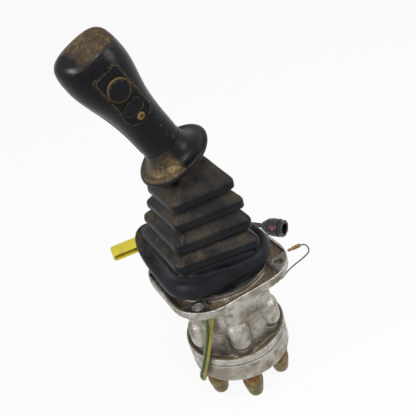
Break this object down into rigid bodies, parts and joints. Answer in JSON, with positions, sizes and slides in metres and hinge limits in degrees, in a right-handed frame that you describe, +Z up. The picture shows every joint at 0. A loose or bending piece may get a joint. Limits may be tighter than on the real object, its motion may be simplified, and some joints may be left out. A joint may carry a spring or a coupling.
{
  "type": "hydraulic pilot joystick valve",
  "caption": "Hydraulic pilot joystick valve: cranked hand grip with push buttons over a pleated boot, a square mounting flange, a cast casing and screwed port adaptors.",
  "frame": {"origin": "centre of the four mounting holes, on the flange's underside", "axes": "+Z up the valve axis, +X to the operator's right, -Y towards the operator"},
  "size_m": [0.2352, 0.3734, 0.3724],
  "materials": {
    "cast_aluminium": "worn satin casting with brown stains",
    "steel": "satin",
    "yellow_zinc": "dull yellow plating",
    "black_rubber": "matte, dusty",
    "grip_black": "worn semi-gloss",
    "button_black": "worn gloss",
    "yellow_marker": "matte",
    "black_cable": "matte",
    "yellow_cable": "satin",
    "green_cable": "satin"
  },
  "bodies": {
    "housing": {"casing": "cast_aluminium", "mounting_flange": "cast_aluminium", "port_block": "cast_aluminium", "body_gasket": "black_rubber", "block_screws": "steel", "port_adaptors": "yellow_zinc", "port_washers": "black_rubber", "retainer_plate": "steel", "rod_guides": "steel", "rod_seals": "black_rubber", "joint_stud": "steel", "return_spring_right": "steel", "return_spring_rear": "steel", "return_spring_left": "steel", "return_spring_front": "steel", "boot_plate": "steel", "boot": "black_rubber", "wire_grommet_front": "black_rubber", "wire_grommet_rear": "black_rubber", "wire_loop": "yellow_cable", "harness_cable": "black_cable", "earth_wire": "green_cable", "marker_sleeve": "yellow_marker", "connector_body": "grip_black", "connector_ring": "grip_black", "bullet_terminal": "yellow_zinc"},
    "gimbal": {"gimbal_cross": "steel"},
    "lever": {"yoke": "steel", "swash_plate": "steel", "adjusting_nut": "steel", "lock_nut": "steel", "lever_rod": "steel", "grip_skirt": "black_rubber", "grip_front": "grip_black", "grip_rear": "grip_black", "grip_screws": "steel", "grip_core": "grip_black", "switch_panel": "grip_black", "button_bezel": "grip_black", "panel_screw": "yellow_zinc"},
    "round_button": {"push_button": "button_black"},
    "small_button": {"oval_button": "button_black"},
    "plunger_right": {"push_rod_right": "steel", "spool_right": "steel"},
    "plunger_rear": {"push_rod_rear": "steel", "spool_rear": "steel"},
    "plunger_left": {"push_rod_left": "steel", "spool_left": "steel"},
    "plunger_front": {"push_rod_front": "steel", "spool_front": "steel"}
  },
  "joints": [
    {"name": "tilt_fore_aft", "type": "hinge", "parent": "housing", "child": "gimbal", "pos_m": [0, 0, 0], "axis": [1, 0, 0], "range_deg": [-19, 19], "stiffness_Nm_per_rad": 9, "deforming": ["boot"]},
    {"name": "tilt_side", "type": "hinge", "parent": "gimbal", "child": "lever", "pos_m": [0, 0, 0], "axis": [0, 1, 0], "range_deg": [-19, 19], "stiffness_Nm_per_rad": 9, "deforming": ["boot"]},
    {"name": "round_button_press", "type": "slide", "parent": "lever", "child": "round_button", "axis": [-0.0482, 0.9917, 0.1194], "range_m": [0, 0.002], "stiffness_N_per_m": 1000, "springref_m": -0.003},
    {"name": "small_button_press", "type": "slide", "parent": "lever", "child": "small_button", "axis": [-0.0482, 0.9917, 0.1194], "range_m": [0, 0.0012], "stiffness_N_per_m": 1500, "springref_m": -0.002},
    {"name": "plunger_right_slide", "type": "slide", "parent": "housing", "child": "plunger_right", "axis": [0, 0, 1], "range_m": [-0.0083, 0.0083], "deforming": ["return_spring_right"]},
    {"name": "plunger_left_slide", "type": "slide", "parent": "housing", "child": "plunger_left", "axis": [0, 0, 1], "range_m": [-0.0083, 0.0083], "deforming": ["return_spring_left"]},
    {"name": "plunger_rear_slide", "type": "slide", "parent": "housing", "child": "plunger_rear", "axis": [0, 0, 1], "range_m": [-0.0083, 0.0083], "deforming": ["return_spring_rear"]},
    {"name": "plunger_front_slide", "type": "slide", "parent": "housing", "child": "plunger_front", "axis": [0, 0, 1], "range_m": [-0.0083, 0.0083], "deforming": ["return_spring_front"]}
  ],
  "couplings": [
    {"joint": "plunger_right_slide", "follows": "tilt_side", "m_per_rad": -0.0247},
    {"joint": "plunger_left_slide", "follows": "tilt_side", "m_per_rad": 0.0247},
    {"joint": "plunger_rear_slide", "follows": "tilt_fore_aft", "m_per_rad": 0.0247},
    {"joint": "plunger_front_slide", "follows": "tilt_fore_aft", "m_per_rad": -0.0247}
  ]
}
